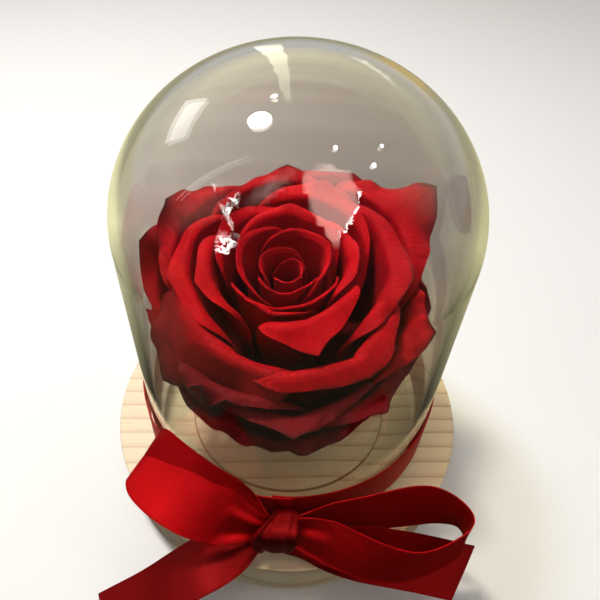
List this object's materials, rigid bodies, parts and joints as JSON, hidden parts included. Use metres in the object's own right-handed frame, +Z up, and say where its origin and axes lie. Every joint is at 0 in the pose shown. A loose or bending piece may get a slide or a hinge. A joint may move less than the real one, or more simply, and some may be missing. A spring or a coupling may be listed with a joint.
{
  "type": "rose under glass dome",
  "caption": "Preserved red rose head on a short stem under a clear glass dome, which rests on a round wooden base and has a satin ribbon tied in a bow at its foot.",
  "frame": {"origin": "centre of the flat underside of the wooden base", "axes": "+Z up through the dome's middle; the bow is on the -Y side"},
  "size_m": [0.113, 0.1331, 0.1318],
  "materials": {
    "pine": "satin",
    "dome_glass": "polished",
    "satin_ribbon": "satin",
    "rose_petal": "matte",
    "stem_green": "matte"
  },
  "bodies": {
    "root": {"wooden_base": "pine", "glass_dome": "dome_glass", "ribbon_band": "satin_ribbon", "bow_knot": "satin_ribbon", "bow_loop_left": "satin_ribbon", "bow_loop_right": "satin_ribbon", "bow_tail_left": "satin_ribbon", "bow_tail_right": "satin_ribbon", "stem_and_calyx": "stem_green", "bud_petal_1": "rose_petal", "bud_petal_2": "rose_petal", "bud_petal_3": "rose_petal", "bud_petal_4": "rose_petal", "bud_petal_5": "rose_petal", "bud_petal_6": "rose_petal", "bud_petal_7": "rose_petal", "inner_petal_1": "rose_petal", "inner_petal_2": "rose_petal", "inner_petal_3": "rose_petal", "inner_petal_4": "rose_petal", "inner_petal_5": "rose_petal", "inner_petal_6": "rose_petal", "inner_petal_7": "rose_petal", "outer_petal_1": "rose_petal", "outer_petal_2": "rose_petal", "outer_petal_3": "rose_petal", "outer_petal_4": "rose_petal", "outer_petal_5": "rose_petal", "outer_petal_6": "rose_petal", "outer_petal_7": "rose_petal", "outer_petal_8": "rose_petal", "outer_petal_9": "rose_petal", "outer_petal_10": "rose_petal", "outer_petal_11": "rose_petal", "outer_petal_12": "rose_petal", "outer_petal_13": "rose_petal", "outer_petal_14": "rose_petal"}
  },
  "joints": []
}
